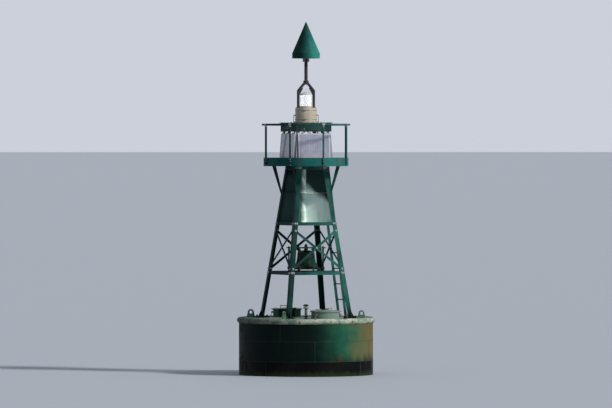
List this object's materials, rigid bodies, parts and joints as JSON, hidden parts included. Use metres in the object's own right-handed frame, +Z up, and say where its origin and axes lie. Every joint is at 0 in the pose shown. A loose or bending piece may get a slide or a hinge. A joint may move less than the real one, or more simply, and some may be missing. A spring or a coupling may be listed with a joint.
{
  "type": "navigation buoy",
  "caption": "Floating lighted bell buoy: drum float, skeleton tower with radar reflector, round railed gallery, lantern and cone topmark.",
  "frame": {"origin": "on the buoy's axis at its waterline", "axes": "+Z up to the topmark, +X through the ladder side of the tower, Y through the two hatches"},
  "size_m": [2.4698, 2.4692, 8.635],
  "materials": {
    "boot_black": "matt, weed-stained",
    "hull_green": "weathered, rust runs",
    "deck_green": "worn",
    "rail_worn": "scuffed to primer",
    "tower_green": "weathered",
    "reflector_pale": "chalked pale",
    "bell_metal": "dark verdigris",
    "iron_dark": "rusted",
    "zinc": "dull",
    "galvanised": "dull grey",
    "frame_alloy": "anodised",
    "solar_cells": "glossy",
    "box_green": "semi-matt",
    "drum_tan": "chalked",
    "lens_clear": "clear",
    "lamp_white": "semi-gloss",
    "cap_pale": "matt",
    "topmark_green": "faded"
  },
  "bodies": {
    "buoy": {"hull_lower": "boot_black", "hull_upper": "hull_green", "deck_plate": "deck_green", "rub_rail": "rail_worn", "tail_tube": "boot_black", "ballast_weight": "iron_dark", "mooring_eyes": "iron_dark", "anodes": "zinc", "lifting_eyes": "deck_green", "hatch_coamings": "deck_green", "vent_pipes": "deck_green", "foot_pads": "tower_green", "tower_legs": "tower_green", "tower_girts": "tower_green", "tower_braces": "tower_green", "radar_shelves": "reflector_pale", "radar_plates": "reflector_pale", "bell_beams": "tower_green", "bell_stand": "tower_green", "bell": "bell_metal", "ladder": "tower_green", "ladder_rungs": "tower_green", "knee_braces": "tower_green", "platform_bearers": "tower_green", "platform_rim": "tower_green", "grating_rods": "tower_green", "platform_grating": "tower_green", "rail_posts": "tower_green", "top_rail": "tower_green", "pedestal_frame": "galvanised", "solar_frames": "frame_alloy", "solar_laminates": "solar_cells", "equipment_box": "box_green", "lantern_base": "drum_tan", "lamp_unit": "lamp_white", "lantern_lens": "lens_clear", "lantern_cap": "cap_pale", "topmark_yoke": "tower_green", "topmark_pole": "galvanised", "topmark_cone": "topmark_green"},
    "cover_front": {"hatch_cover_front": "deck_green"},
    "cover_rear": {"hatch_cover_rear": "deck_green"},
    "tapper_1": {"tapper_1": "iron_dark"},
    "tapper_2": {"tapper_2": "iron_dark"},
    "tapper_3": {"tapper_3": "iron_dark"},
    "tapper_4": {"tapper_4": "iron_dark"}
  },
  "joints": [
    {"name": "cover_rear_hinge", "type": "hinge", "parent": "buoy", "child": "cover_rear", "pos_m": [0, 0.56, 1.165], "axis": [1, 0, 0], "range_deg": [0, 100]},
    {"name": "cover_front_hinge", "type": "hinge", "parent": "buoy", "child": "cover_front", "pos_m": [0, -0.56, 1.165], "axis": [-1, 0, 0], "range_deg": [0, 100]},
    {"name": "tapper_1_hinge", "type": "hinge", "parent": "buoy", "child": "tapper_1", "pos_m": [0.2291, 0.2291, 2.232], "axis": [0.7071, -0.7071, 0], "range_deg": [-5.4, 35]},
    {"name": "tapper_2_hinge", "type": "hinge", "parent": "buoy", "child": "tapper_2", "pos_m": [-0.2291, 0.2291, 2.232], "axis": [0.7071, 0.7071, 0], "range_deg": [-5.4, 35]},
    {"name": "tapper_3_hinge", "type": "hinge", "parent": "buoy", "child": "tapper_3", "pos_m": [-0.2291, -0.2291, 2.232], "axis": [-0.7071, 0.7071, 0], "range_deg": [-5.4, 35]},
    {"name": "tapper_4_hinge", "type": "hinge", "parent": "buoy", "child": "tapper_4", "pos_m": [0.2291, -0.2291, 2.232], "axis": [-0.7071, -0.7071, 0], "range_deg": [-5.4, 35]}
  ]
}
